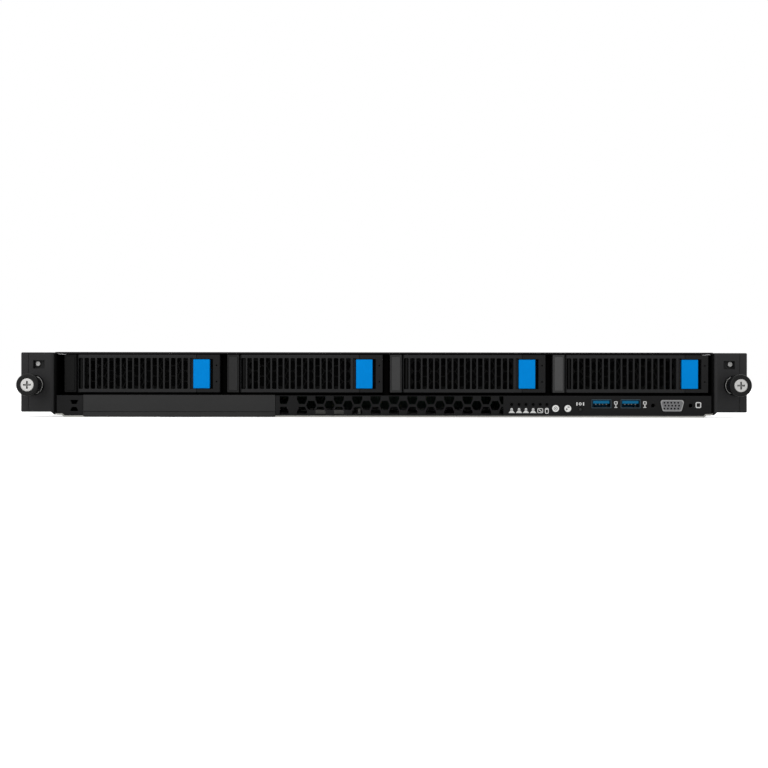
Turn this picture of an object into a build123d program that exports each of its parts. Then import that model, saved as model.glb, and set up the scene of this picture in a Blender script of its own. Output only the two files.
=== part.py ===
# 1U rack server with four 3.5 inch drive carriers, in millimetres.
# X runs across the rack, Y runs into it and Z is up. Y = 0 is the face of the rack's rails, which the
# ears rest on, Z = 0 is the underside and X = 0 is the middle between the two ears.
import os
from math import cos, radians

from build123d import *

os.makedirs("parts", exist_ok=True)

# Body
rack_width = 482.6
ear_reach = 22.3
body_height = 43.2
rear = 647.0
sheet = 1.0
cover_sheet = 1.0
bend_radius = 1.2
corner_step = 1.4
corner_width = 4.6
lip_height = 2.6
gap = 0.3
touch = 0.1

# Covers
cover_screw_radius = 1.25
cover_screw_head = 2.8
cover_screw_sink = 0.5
cover_screw_length = 4.7
cover_screw_rows = (32.0, 160.0)
cover_travel = 12.0
flange_bottom = 34.0
pad_length = 56.0
pad_width = 22.0
pad_depth = 0.6

# Ears and thumbscrews
ear_bottom = 3.4
ear_low_corner = 1.6
ear_top_gap = 0.3
ear_sheet = 1.5
ear_depth = 6.0
ear_flange_end = 58.0
ear_bend = 3.0
ear_corner = 1.0
ear_strip = 4.7
ear_groove = 0.5
ear_window_margin = 8.0
ear_window_width = 7.6
ear_window_drop = 5.6
ear_window_height = 5.4
rivet_margin = 10.3
rivet_drop = 7.9
rivet_radius = 1.8
rivet_head = 1.2
screw_margin = 8.75
screw_drop = 21.9
screw_thread_radius = 2.5
screw_thread_length = 10.0
screw_shank_radius = 3.0
screw_head_radius = 4.3
screw_bore_clearance = 0.08
recess_length = 5.0
recess_width = 1.1
recess_depth = 1.6
collar_radius = 6.25
collar_length = 7.0
collar_rim = 1.2
knob_front = -24.5
knob_radius = 7.3
knob_length = 7.5
knob_flutes = 24
flute_radius = 0.6

# Drive cage and carriers
face_setback = 0.6
shelf_top = 14.9
shelf_front = 1.0
cage_end = 171.7
cage_wall_end = 58.0
foot_width = 4.0
carrier_count = 4
carrier_margin_left = 6.3
carrier_margin_right = 3.4
carrier_gap = 4.9
carrier_bottom = 16.5
divider_width = 3.9
divider_front = 2.0
divider_sheet = 0.8
nut_height = 4.0
rail_sheet = 0.9
drive_length = 147.0
drive_offset = 17.0

# Carrier details, measured from the carrier's left edge and front face
block_width = 7.9
front_depth = 11.0
screen_depth = 6.5
screen_sheet = 1.0
screen_start = 17.6
cell_pitch = 7.04
cell_web = 0.7
hinge_x = 11.3
hinge_radius = 3.0
hinge_post_radius = 1.6
hinge_pin_radius = 0.85
hinge_pin_length = 1.6
hinge_clearance = 0.06
lever_margin = 15.6
lever_depth = 3.0
slot_start = 9.3
slot_pitch = 4.107
slot_width = 3.07
slot_margin = 2.2
slot_corner = 0.6
latch_overlap = 2.0
latch_width = 10.9
latch_depth = 6.0
latch_inset = 2.6
latch_travel = 1.8
latch_groove = 2.1
pocket_margin = 4.5
status_hole_radius = 0.5
status_hole_margin = 2.2
status_hole_spacing = 10.8
connector_x = 52.5
connector_width = 43.0

# Lower front panel; sizes with "right" are measured from the right side of the body
panel_sheet = 1.2
panel_clearance = 0.1
panel_top = 14.4
panel_flange = 12.2
bay_margin = 18.8
bay_width = 128.0
blank_sheet = 1.5
blank_proud = 0.4
blank_bottom = 0.3
blank_crease_z = 3.5
blank_tab = (51.2, 78.2)
vent_gap = 2.8
vent_right_margin = 139.6
vent_top = 13.9
vent_bottom = 1.5
hex_width = 6.7
hex_height = 6.1
hex_flat = 4.0
hex_column = 6.12
hex_row = 8.0
vent_first_cell = 20.95
vent_middle_z = 7.8
side_vent_x = 12.9
side_vent_z = 7.6
light_right = (134.1, 129.2, 124.6, 119.8, 115.1, 110.7)
light_z = 8.6
light_radius = 1.0
power_right = 104.9
identify_right = 96.8
button_z = 5.95
button_radius = 2.55
button_gap = 0.25
button_travel = 1.0
button_cap = 3.0
reset_right = 88.3
reset_z = 5.4
reset_radius = 1.25
usb_right = (74.4, 55.05)
usb_z = 9.1
usb_width = 13.1
usb_height = 5.8
usb_depth = 17.0
usb_wall = 0.35
tongue_width = 10.8
tongue_height = 1.9
vga_right = 27.4
vga_z = 7.9
vga_screw_spacing = 24.99
vga_screw_radius = 1.3
vga_top_width = 16.4
vga_bottom_width = 12.6
vga_height = 7.6
vga_pin_pitch = 2.29
vga_row_pitch = 1.96
control_board_margins = (137.0, 11.0)
control_board_end = 62.0
control_board_top = 3.0
switch_face = 5.2

# Fans
backplane_sheet = 2.0
backplane_holes = 8
backplane_hole_drops = (16.0, 5.0)
fan_count = 6
fan_length = 28.0
fan_front = 196.0
fan_margin = 14.0
fan_blades = 7
fan_hub_radius = 8.0
fan_axle_radius = 1.5
fan_strut = 3.0
blade_pitch = 50.0
blade_sheet = 1.0

# Motherboard
board_bottom = 7.2
board_sheet = 1.6
board_gap = 5.3
board_margin = 7.0
board_front = 262.0
board_rear = 644.0
post_radius = 3.0
cpu_y = 345.0
cpu_half = (30.0, 38.0)
heatsink_half = (39.0, 54.0)
heatsink_fins = 20
memory_offset = 52.0
memory_pitch = 9.0
memory_banks = 4
dimm_length = 133.0
dimm_sheet = 1.4
dimm_socket = 6.4
duct_half = 92.0
duct_sheet = 1.0
chip_offset = (73.0, 175.0)
chip_width = 34.0

# Rear ports: distance from the board's left edge to the middle, width and height
io_ports = {
    "lan_1": (16.0, 16.0, 13.4),
    "lan_2": (35.0, 16.0, 13.4),
    "lan_3": (54.0, 16.0, 13.4),
    "usb_pair": (75.0, 14.6, 15.8),
    "vga": (101.0, 31.0, 12.6),
}
port_depth = 19.0
port_proud = 0.4
slot_left_offset = 140.0
slot_right_offset = 10.0
slot_bottom = 21.0
slot_hole_width = 9.0
slot_hole_pitch = 13.0
slot_hole_margins = (8.0, 3.0)
module_inset = 12.0
module_z = (8.6, 19.0)
rear_vent_start = 10.0
rear_vent_width = 98.0
rear_vent_z = (25.5, 39.6)
rear_hex_width = 5.2
rear_hex_height = 5.6

# Power supplies
psu_count = 2
psu_width = 73.5
psu_gap = 1.1
psu_margin = 6.5
psu_length = 186.0
psu_proud = 1.5
inlet_x = 52.0
inlet_width = 16.8
inlet_height = 24.6
inlet_depth = 15.0
grille_x = 20.0
grille_radii = (5.0, 8.5, 12.0, 15.5)
handle_x = 36.0
handle_reach = 26.0
handle_height = 32.0
handle_sheet = 3.5
finger_gap = 23.0
psu_latch_x = 66.5
psu_latch_sheet = 2.5
psu_latch_travel = 2.5
psu_latch_height = 12.0
psu_latch_tail = 9.5
psu_latch_reach = 15.0

# Rail studs on the sides
stud_places = (110.0, 290.0, 450.0, 600.0)
stud_z = 21.6
stud_neck_radius = 2.2
stud_neck_length = 1.4
stud_head_radius = 3.6
stud_head_length = 1.0

# Sizes that follow from those above
half_rack = rack_width / 2
half_body = half_rack - ear_reach
half_inside = half_body - sheet
half_floor = half_body - corner_width - corner_step
cover_bottom = body_height - cover_sheet
wall_top = cover_bottom - 0.2
cover_joint = cage_end + 14.0
ear_front = -ear_depth
ear_top = body_height - ear_top_gap
ear_plate_front = -ear_sheet
ear_window_right = half_rack - ear_window_margin
ear_window_top = body_height - ear_window_drop
ear_window_x = (ear_window_right - ear_window_width, ear_window_right)
ear_window_z = (ear_window_top - ear_window_height, ear_window_top)
rivet_x = half_rack - rivet_margin
rivet_z = body_height - rivet_drop
screw_x = half_rack - screw_margin
screw_z = body_height - screw_drop
collar_front = ear_plate_front - collar_length
knob_back = knob_front + knob_length
face = ear_front + face_setback
shelf_bottom = shelf_top - sheet
carrier_top = body_height - 1.7
carrier_left = -half_body + carrier_margin_left
carrier_space = 2 * half_body - carrier_margin_left - carrier_margin_right + carrier_gap
carrier_pitch = carrier_space / carrier_count
carrier_width = carrier_pitch - carrier_gap
carrier_middle = (carrier_bottom + carrier_top) / 2
lever_end = carrier_width - lever_margin
latch_left = lever_end - latch_overlap
latch_bottom = carrier_bottom + latch_inset
latch_height = carrier_top - carrier_bottom - 2 * latch_inset - 0.5
carrier_height = (carrier_bottom, carrier_top)
pocket_height = (latch_bottom - gap, latch_bottom + latch_height + gap)
slot_height = (carrier_bottom + slot_margin, carrier_top - slot_margin)
slot_count = int((latch_left - latch_groove - slot_start) / slot_pitch)
drive_bottom = shelf_top + gap
drive_height = cover_bottom - drive_bottom - 0.9
drive_end = face + drive_offset + drive_length
panel_back = face + panel_sheet
panel_bottom = sheet + panel_clearance
flange_top = sheet + panel_sheet
bay_left = -half_body + bay_margin
bay_right = bay_left + bay_width
vent_left = bay_right + vent_gap
vent_right = half_body - vent_right_margin
light_x = [half_body - distance for distance in light_right]
power_x = half_body - power_right
identify_x = half_body - identify_right
reset_x = half_body - reset_right
usb_x = [half_body - distance for distance in usb_right]
vga_x = half_body - vga_right
stem_end = switch_face - button_travel - 0.1
fan_low = 2 * sheet + gap
fan_size = cover_bottom - fan_low - 1.9
fan_z = fan_low + fan_size / 2
fan_bore_radius = fan_size / 2 - 0.9
fan_pitch = 2 * (half_inside - fan_margin) / fan_count
fan_x = [(index - (fan_count - 1) / 2) * fan_pitch for index in range(fan_count)]
board_top = board_bottom + board_sheet
psu_left = -half_body + psu_margin
psu_pitch = psu_width + psu_gap
psu_right = psu_left + psu_pitch * psu_count - psu_gap
psu_face = rear + psu_proud
psu_front = psu_face - psu_length
psu_bottom = sheet + gap
psu_top = cover_bottom - 1.3
psu_middle = (psu_bottom + psu_top) / 2
board_left = psu_right + board_gap
board_right = half_body - board_margin
cpu_x = (board_left + board_right) / 2
bank_offsets = [memory_offset + memory_pitch * bank for bank in range(memory_banks)]
memory_x = [cpu_x + side * distance for side in (-1, 1) for distance in bank_offsets]
duct_top = cover_bottom - 0.6
duct_ceiling = duct_top - duct_sheet
slot_x = (board_left + slot_left_offset, board_right - slot_right_offset)
slot_z = (slot_bottom, wall_top - 2.6)
module_x = (slot_x[0] + module_inset, slot_x[1] - module_inset)
rear_wall = rear - sheet


# Helpers: a rectangle from its limits, and slabs drawn on the three main planes
def around(middle, width):
    return (middle - width / 2, middle + width / 2)


def rect(x_limits, y_limits):
    width = x_limits[1] - x_limits[0]
    height = y_limits[1] - y_limits[0]
    return Pos(x_limits[0] + width / 2, y_limits[0] + height / 2) * Rectangle(width, height)


def rounded(x_limits, y_limits, radius):
    width = x_limits[1] - x_limits[0]
    height = y_limits[1] - y_limits[0]
    middle = Pos(x_limits[0] + width / 2, y_limits[0] + height / 2)
    return middle * RectangleRounded(width, height, radius)


def shrunk(limits, margin):
    return (limits[0] + margin, limits[1] - margin)


def along_x(sketch, start, end):
    return extrude(Plane.YZ.offset(start) * sketch, amount=end - start, dir=(1, 0, 0))


def along_y(sketch, start, end):
    return extrude(Plane.XZ.offset(-end) * sketch, amount=end - start, dir=(0, -1, 0))


def along_z(sketch, start, end):
    return extrude(Plane.XY.offset(start) * sketch, amount=end - start, dir=(0, 0, 1))


def block(x_limits, y_limits, z_limits):
    return along_z(rect(x_limits, y_limits), z_limits[0], z_limits[1])


def rod_y(x, z, radius, start, end):
    return along_y(Pos(x, z) * Circle(radius), start, end)


def cell(width, height, flat):
    points = [(width / 2, 0), (flat / 2, height / 2), (-flat / 2, height / 2)]
    return Polygon(*points, *[(-x, -z) for x, z in points], align=None)


def sided(shape, side):
    return shape if side > 0 else mirror(shape, Plane.YZ)


def save(name, *shapes):
    solids = [solid for shape in shapes for solid in shape.solids()]
    whole = solids[0] if len(solids) == 1 else Compound(children=solids)
    export_step(whole, f"parts/{name}.step")


# Body: the folded base tray with its rear wall, posts and rail studs
def tray_outline():
    # The bottom corners are raised a little, so that the body clears the rails
    side = [(half_body, body_height + 5), (half_body, corner_step)]
    side += [(half_body - corner_width, corner_step), (half_floor, 0)]
    return Polygon(*side, *[(-x, z) for x, z in reversed(side)], align=None)


def rear_vent():
    start = board_left + rear_vent_start
    cells = []
    for column in range(int(rear_vent_width / hex_column)):
        for row in range(-1, 2):
            x = start + (column + 0.5) * hex_column
            z = sum(rear_vent_z) / 2 + (row + column % 2 / 2) * hex_row
            cells.append(Pos(x, z) * cell(rear_hex_width, rear_hex_height, rear_hex_width / 2))
    return Sketch(children=cells) & rect((start, start + rear_vent_width), rear_vent_z)


def rear_openings():
    holes = [rect((psu_left - gap, psu_right + gap), (sheet, wall_top))]
    for offset_x, width, height in io_ports.values():
        holes.append(rect(around(board_left + offset_x, width), (board_top, board_top + height)))
    holes.append(rect(slot_x, slot_z))
    holes.append(rect(module_x, module_z))
    holes.append(rear_vent())
    return holes


def rail_stud(side, y):
    neck_end = half_body + stud_neck_length
    middle = Pos(y, stud_z)
    neck = along_x(middle * Circle(stud_neck_radius), half_body - sheet / 2, neck_end)
    head = along_x(middle * Circle(stud_head_radius), neck_end, neck_end + stud_head_length)
    return sided(neck + head, side)


def base_tray():
    outside = tray_outline()
    inside = offset(outside, -sheet, kind=Kind.INTERSECTION)
    corners = outside.vertices().sort_by(Axis.Y)[2:6].sort_by(Axis.X)
    walls = fillet([corners[0], corners[-1]], bend_radius + sheet)
    tray = along_y(walls - inside, face, rear)
    tray -= block((-half_rack, half_rack), (face - 1, rear + 1), (wall_top, body_height + 10))
    tray -= block((-half_rack, half_rack), (face - 1, cage_wall_end + gap), (lip_height, body_height))
    rear_face = walls & rect((-half_inside, half_inside), (sheet / 2, wall_top - gap))
    tray += along_y(rear_face - rear_openings(), rear_wall, rear)
    for x in (board_left + 8, cpu_x, board_right - 8):
        for y in (board_front + 8, 452.0, board_rear - 12):
            tray += along_z(Pos(x, y) * Circle(post_radius), sheet / 2, board_bottom)
    for side in (-1, 1):
        for y in stud_places:
            tray += rail_stud(side, y)
    # The turned-up tab and the small stud that show through the lowest cells of the front vent
    tab_x = (vent_left + 21.4, vent_left + 43.9)
    tray += along_y(rect(tab_x, (sheet / 2, 4.6)), 5.0, 5.0 + sheet)
    tray += along_z(Pos(vent_left + 52.8, 6.0) * Circle(1.3), sheet / 2, 5.6)
    return tray


save("base_tray", base_tray())


# Top: a fixed cover over the drives and one over the rest, which slides back
def divider_middle(place):
    return carrier_left + place * carrier_pitch - carrier_gap / 2


def cover_hole_places():
    columns = [divider_middle(place) for place in range(1, carrier_count)]
    return [Pos(x, y) for x in columns for y in cover_screw_rows]


def cover(start, end):
    top = block((-half_body, half_body), (start, end), (cover_bottom, body_height))
    edges = top.edges().filter_by(Axis.Y).group_by(Axis.Z)[-1]
    return fillet(edges, cover_sheet * 0.8)


def front_top_cover():
    top = cover(face, cover_joint - gap)
    seat = body_height - cover_screw_sink
    for place in cover_hole_places():
        top -= along_z(place * Circle(cover_screw_radius + 0.1), cover_bottom - 1, body_height)
        top -= along_z(place * Circle(cover_screw_head + 0.1), seat, body_height + 1)
    return top


def cover_screw(place):
    seat = body_height - cover_screw_sink
    head = along_z(place * Circle(cover_screw_head), seat, body_height)
    cross = Rectangle(2.6, 0.5) + Rectangle(0.5, 2.6)
    recess = along_z(place * cross, body_height - 0.3, body_height)
    shank = along_z(place * Circle(cover_screw_radius), body_height - cover_screw_length, seat)
    return head + shank - recess


def rear_top_cover():
    top = cover(cover_joint, rear)
    outer = half_inside - gap
    flange_y = (cover_joint + 20, psu_front - cover_travel - 1.0)
    flange = block((outer - cover_sheet, outer), flange_y, (flange_bottom, cover_bottom + touch))
    for side in (-1, 1):
        top += sided(flange, side)
        # A finger pad pressed into the sheet on each side, to push the cover back
        pad = Pos(side * half_body * 0.55, cover_joint + 60.0) * SlotOverall(pad_length, pad_width)
        top -= along_z(pad, body_height - pad_depth, body_height)
        top += along_z(offset(pad, -0.4), cover_bottom - 0.4, cover_bottom + touch)
    return top


save("front_top_cover", front_top_cover())
save("cover_screws", *[cover_screw(place) for place in cover_hole_places()])
save("rear_top_cover", rear_top_cover())


# Ears: bent sheet with a window, a plate behind it that meets the rack, a rivet, a collar and a thumbscrew
def ear_section():
    inner = half_body + ear_sheet
    outer = half_rack - ear_sheet
    back = ear_front + ear_sheet
    outline = Polygon(
        (half_body, ear_flange_end),
        (half_body, ear_front),
        (half_rack, ear_front),
        (half_rack, ear_plate_front),
        (outer, ear_plate_front),
        (outer, back),
        (inner, back),
        (inner, ear_flange_end),
        align=None,
    )
    outline = fillet(outline.vertices().sort_by_distance((half_body, ear_front))[0], ear_bend)
    outline = fillet(outline.vertices().sort_by_distance((inner, back))[0], ear_bend - ear_sheet)
    return fillet(outline.vertices().sort_by_distance((half_rack, ear_front))[0], 0.4)


def ear_front_view():
    low_corner = half_body + 0.6
    outline = Polygon(
        (half_body - 1, ear_low_corner),
        (low_corner, ear_low_corner),
        (low_corner + ear_bottom - ear_low_corner, ear_bottom),
        (half_rack, ear_bottom),
        (half_rack, ear_top),
        (half_body - 1, ear_top),
        align=None,
    )
    return fillet(outline.vertices().sort_by(Axis.X)[-2:], ear_corner)


def ear(side):
    body = along_z(ear_section(), 0, ear_top + 1)
    body &= along_y(ear_front_view(), ear_front - 1, ear_flange_end)
    # The flange along the side of the body is lower than the face
    flange_x = (half_body - 1, half_body + ear_sheet + 0.01)
    behind = (4.0, ear_flange_end + 1)
    body -= block(flange_x, behind, (wall_top - 3, ear_top + 1))
    body -= block(flange_x, behind, (0, ear_bottom + 3))
    body -= along_y(rect(ear_window_x, ear_window_z), ear_front - 1, ear_plate_front)
    body -= rod_y(screw_x, screw_z, collar_radius + gap, ear_front - 1, ear_plate_front)
    groove_x = half_rack - ear_strip
    groove = rect((groove_x - ear_groove, groove_x), (0, ear_top + 1))
    body -= along_y(groove, ear_front, ear_front + 0.35)
    for y in (20.0, 45.0):
        for z in (14.0, 30.0):
            body -= along_x(Pos(y, z) * Circle(1.8), half_body + ear_sheet - 0.6, half_body + ear_sheet)
    return sided(body, side)


def ear_plate(side):
    x_limits = (half_body + ear_sheet + gap, half_rack - gap)
    outline = rounded(x_limits, (ear_bottom + 0.5, ear_top - 0.5), ear_corner)
    outline -= Pos(screw_x, screw_z) * Circle(screw_shank_radius + screw_bore_clearance)
    outline -= Pos(rivet_x, rivet_z) * Circle(rivet_radius * 0.6)
    return sided(along_y(outline, ear_plate_front, 0), side)


def ear_rivet(side):
    head = rod_y(rivet_x, rivet_z, rivet_radius, ear_plate_front - rivet_head, ear_plate_front)
    head = fillet(head.edges().group_by(Axis.Y)[0], 0.5)
    shank = rod_y(rivet_x, rivet_z, rivet_radius * 0.6, ear_plate_front, 0)
    return sided(head + shank, side)


def collar(side):
    ring = Circle(collar_radius) - Circle(screw_shank_radius + screw_bore_clearance)
    body = along_y(Pos(screw_x, screw_z) * ring, collar_front, ear_plate_front)
    body -= rod_y(screw_x, screw_z, collar_radius - collar_rim, collar_front, collar_front + 3.0)
    return sided(body, side)


def thumbscrew(side):
    knob = rod_y(screw_x, screw_z, knob_radius, knob_front, knob_back)
    knob = fillet(knob.edges().group_by(Axis.Y)[0], 1.0)
    knob = fillet(knob.edges().group_by(Axis.Y)[-1], 0.6)
    flutes = PolarLocations(knob_radius + 0.2, knob_flutes) * Circle(flute_radius)
    band = along_y(Pos(screw_x, screw_z) * Sketch(children=flutes), knob_front + 1.6, knob_back - 1.0)
    knob -= band
    knob -= rod_y(screw_x, screw_z, screw_head_radius, knob_front - 1, knob_back + 1)
    head = rod_y(screw_x, screw_z, screw_head_radius, knob_front, collar_front - gap)
    head = fillet(head.edges().group_by(Axis.Y)[0], 0.4)
    cross = Rectangle(recess_length, recess_width) + Rectangle(recess_width, recess_length)
    head -= along_y(Pos(screw_x, screw_z) * cross, knob_front, knob_front + recess_depth)
    shank = rod_y(screw_x, screw_z, screw_shank_radius, collar_front - gap, 0)
    thread = rod_y(screw_x, screw_z, screw_thread_radius, 0, screw_thread_length)
    thread = chamfer(thread.edges().group_by(Axis.Y)[-1], 0.6)
    return [sided(knob, side), sided(head + shank + thread, side)]


for side, name in ((-1, "left"), (1, "right")):
    save(f"{name}_ear", ear(side))
    save(f"{name}_ear_plate", ear_plate(side))
    save(f"{name}_thumbscrew", *thumbscrew(side))
save("ear_rivets", ear_rivet(-1), ear_rivet(1))
save("thumbscrew_collars", collar(-1), collar(1))


# Drive cage: shelf, side walls and folded dividers
def divider(place):
    middle = divider_middle(place)
    width = around(middle, divider_width)
    fold = rect(width, (divider_front, cage_end))
    fold = fillet(fold.vertices().sort_by(Axis.Y)[:2], 1.0)
    hollow = rect(shrunk(width, divider_sheet), (divider_front + divider_sheet, cage_end + 1))
    body = along_z(fold - hollow, shelf_top, wall_top)
    for y in cover_screw_rows:
        nut = rect(shrunk(width, touch), (y - 3, y + 3))
        body += along_z(nut, wall_top - nut_height, wall_top)
        bore = Pos(middle, y) * Circle(cover_screw_radius + 0.05)
        body -= along_z(bore, wall_top - nut_height, wall_top)
    return body


def drive_cage():
    shelf_y = (shelf_front, cage_end)
    cage = block((-half_inside, half_inside), shelf_y, (shelf_bottom, shelf_top))
    web = half_floor - 0.4
    for side in (-1, 1):
        wall = block((half_inside, half_body), (face, cage_wall_end), (lip_height, wall_top))
        wall += block((web - sheet, web), shelf_y, (sheet, shelf_bottom + touch))
        wall += block((web - foot_width, web), shelf_y, (sheet, 2 * sheet))
        cage += sided(wall, side)
    for place in range(1, carrier_count):
        cage += divider(place)
    # Cooling slots in the shelf under each drive
    for place in range(carrier_count):
        for slot in range(1, 5):
            x = carrier_left + place * carrier_pitch + slot * carrier_width / 5
            opening = Pos(x, 100.0) * SlotOverall(90.0, 6.0, rotation=90)
            cage -= along_z(opening, shelf_bottom, shelf_top)
    return cage


save("drive_cage", drive_cage())


# Lower front panel with its vents and the control cut-outs
def vent_cells():
    middle_x = vent_left + vent_first_cell
    last = int((vent_right - middle_x) / hex_column) + 1
    cells = []
    for column in range(-3, last + 1):
        x = middle_x + column * hex_column
        if column % 2:
            # The outer rows run on straight to the vent's edges
            for side in (-1, 1):
                z = vent_middle_z + side * hex_row / 2
                cells.append(Pos(x, z) * cell(hex_width, hex_height, hex_flat))
                cells.append(rect(around(x, hex_width), around(z + side * hex_row / 2, hex_row)))
        elif column >= 0:
            # To the left of this one the middle row is closed
            cells.append(Pos(x, vent_middle_z) * cell(hex_width, hex_height, hex_flat))
    return Sketch(children=cells) & rect((vent_left, vent_right), (vent_bottom, vent_top))


def side_vent():
    half_view = Polygon((-2.75, 3.7), (2.75, 3.7), (1.45, 1.0), (-1.45, 1.0), align=None)
    place = Pos(-half_body + side_vent_x, side_vent_z)
    return [place * half_view, place * mirror(half_view, Plane.XZ)]


def vga_outline(grow):
    top = vga_top_width / 2 + grow
    bottom = vga_bottom_width / 2 + grow
    height = vga_height / 2 + grow
    shape = Polygon((-top, height), (top, height), (bottom, -height), (-bottom, -height), align=None)
    return fillet(shape.vertices(), 1.5)


def vga_screw_places():
    return [Pos(x, vga_z) for x in around(vga_x, vga_screw_spacing)]


def panel_holes():
    holes = [Pos(x, light_z) * Circle(light_radius + 0.05) for x in light_x]
    holes += [Pos(x, button_z) * Circle(button_radius + button_gap) for x in (power_x, identify_x)]
    holes.append(Pos(reset_x, reset_z) * Circle(reset_radius + button_gap))
    for x in usb_x:
        holes.append(rounded(around(x, usb_width + gap), around(usb_z, usb_height + gap), 0.4))
    holes.append(Pos(vga_x, vga_z) * vga_outline(0.35))
    holes += [place * Circle(vga_screw_radius + 0.15) for place in vga_screw_places()]
    return holes


def front_panel():
    edge = half_inside - gap
    outline = rect((-edge, edge), (0, panel_top))
    outline &= offset(tray_outline(), -panel_bottom, kind=Kind.INTERSECTION)
    outline -= rect((bay_left, bay_right), (0, panel_top + 1))
    outline = outline - vent_cells() - side_vent() - panel_holes()
    panel = along_y(outline, face, panel_back)
    flange = half_floor - foot_width - 0.4 - gap
    flange_y = (panel_back, panel_back + panel_flange)
    panel += block((-flange, flange), (panel_back - touch, flange_y[1]), (sheet, flange_top))
    panel -= block((vent_left, vent_right), (panel_back, flange_y[1] + 1), (0, flange_top))
    panel -= block((-flange, flange), (face - 1, panel_back), (0, panel_bottom))
    return panel


def disc_bay_blank():
    front = face - blank_proud
    plate_x = shrunk((bay_left, bay_right), 0.2)
    plate = rounded(plate_x, (blank_bottom, shelf_top - 0.2), 0.3)
    tab = (bay_left + blank_tab[0], bay_left + blank_tab[1])
    plate += rect(tab, around(blank_bottom, 2 * blank_bottom))
    body = along_y(plate, front, front + blank_sheet)
    # Its lower edge hangs in front of the tray's
    body -= block((bay_left, bay_right), (face, front + blank_sheet), (-1, panel_bottom))
    crease = Polygon((0, 0.3), (0.3, 0), (0, -0.3), align=None)
    body -= along_x(Pos(front, blank_crease_z) * crease, bay_left, bay_right)
    rim_x = shrunk((bay_left, bay_right), 0.5)
    rim_z = (flange_top + gap, shelf_bottom - gap)
    rim = rect(rim_x, rim_z) - rect(shrunk(rim_x, 1.2), shrunk(rim_z, 1.2))
    return body + along_y(rim, front + blank_sheet - touch, 12.0)


save("front_panel", front_panel())
save("disc_bay_blank", disc_bay_blank())


# Control board and what sits on it
def control_board():
    left = half_body - control_board_margins[0]
    right = half_body - control_board_margins[1]
    board = block((left, right), (0.5, control_board_end), (panel_bottom + 0.1, control_board_top))
    # It steps over the panel's flange
    board -= block((left - 1, right + 1), (0, panel_back + panel_flange + gap), (0, flange_top + gap))
    base = control_board_top - touch
    for x in light_x:
        board += block(around(x, 2.4), (6.0, 9.0), (base, light_z + 1.4))
    for x, z in ((power_x, button_z), (identify_x, button_z), (reset_x, reset_z)):
        board += block(around(x, 6.0), (switch_face, 9.0), (base, z + 3.0))
    board += block(around(usb_x[0] + 9.4, 28.0), (30.0, 42.0), (base, control_board_top + 2.2))
    board += block(around(left + 24.0, 40.0), (52.0, 60.0), (base, control_board_top + 6.0))
    return board


def light_pipe(x):
    return rod_y(x, light_z, light_radius, face - 0.1, 6.0)


def round_button(x, z, radius, front):
    cap = rod_y(x, z, radius, front, front + button_cap)
    cap = fillet(cap.edges().group_by(Axis.Y)[0], 0.3)
    rim_front = panel_back + button_travel / 2
    rim = rod_y(x, z, radius + 0.7, rim_front, rim_front + 0.8)
    stem = rod_y(x, z, radius * 0.45, front + 2.0, stem_end)
    return cap + rim + stem


def usb_socket(x):
    front = face - 0.3
    back = front + usb_depth
    width = around(x, usb_width)
    height = around(usb_z, usb_height)
    shell = rounded(width, height, 0.4) - rect(shrunk(width, usb_wall), shrunk(height, usb_wall))
    body = along_y(shell, front, back)
    back_wall = (back - 1.7, back)
    body += block(shrunk(width, usb_wall - 0.05), back_wall, shrunk(height, usb_wall - 0.05))
    for foot_x in (width[0] + 1.0, width[1] - 1.0):
        body += block(around(foot_x, 0.8), (front + 6.0, back - 1.0), (control_board_top, height[0] + touch))
    tongue_z = (usb_z + 0.2, usb_z + 0.2 + tongue_height)
    tongue = block(around(x, tongue_width), (face + 0.7, back_wall[0]), tongue_z)
    return [body, tongue]


def vga_pins():
    places = []
    for row in (-1, 0, 1):
        shift = -vga_pin_pitch / 4 if row else 0
        places += [Pos((pin - 2) * vga_pin_pitch + shift, row * vga_row_pitch) for pin in range(5)]
    return places


def vga_socket():
    front = face - 0.6
    middle = Pos(vga_x, vga_z)
    shell = along_y(middle * (vga_outline(-0.1) - vga_outline(-0.6)), front, face + 4.0)
    flange = rect(around(vga_x, vga_screw_spacing + 6.0), (control_board_top, vga_z + 5.6))
    flange -= middle * vga_outline(-0.6)
    flange -= [place * Circle(vga_screw_radius) for place in vga_screw_places()]
    shell += along_y(flange, panel_back + 0.1, panel_back + 1.1)
    insert = vga_outline(-0.62) - [place * Circle(0.5) for place in vga_pins()]
    body = along_y(middle * insert, front + 0.4, front + 6.0)
    body += block(around(vga_x, 22.0), (front + 6.0, front + 19.0), (control_board_top, vga_z + 4.6))
    return [shell, body]


save("control_board", control_board())
save("indicator_light_pipes", *[light_pipe(x) for x in light_x])
save("power_button", round_button(power_x, button_z, button_radius, face - 0.5))
save("identify_button", round_button(identify_x, button_z, button_radius, face - 0.5))
save("reset_button", round_button(reset_x, reset_z, reset_radius, face + 0.9))
save("front_usb_sockets", *[piece for x in usb_x for piece in usb_socket(x)])
save("front_vga_socket", *vga_socket())


# Drive carriers: a moulded frame with its honeycomb screen, a slotted lever, a latch and a drive
def carrier_screen():
    screen = rect((block_width - touch, latch_left - latch_groove + 0.4), carrier_height)
    height = cell_pitch - cell_web
    width = height / cos(radians(30))
    column_pitch = cell_pitch * cos(radians(30))
    cells = []
    for column in range(int((latch_left - screen_start) / column_pitch)):
        for row in (-1, 0, 1):
            z = carrier_middle + (row + column % 2 / 2 - 0.25) * cell_pitch
            cells.append(Pos(screen_start + column * column_pitch, z) * cell(width, height, width / 2))
    screen -= Sketch(children=cells) & rect((0, carrier_width), shrunk(carrier_height, 1.2))
    return along_y(screen, screen_depth, screen_depth + screen_sheet)


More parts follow.
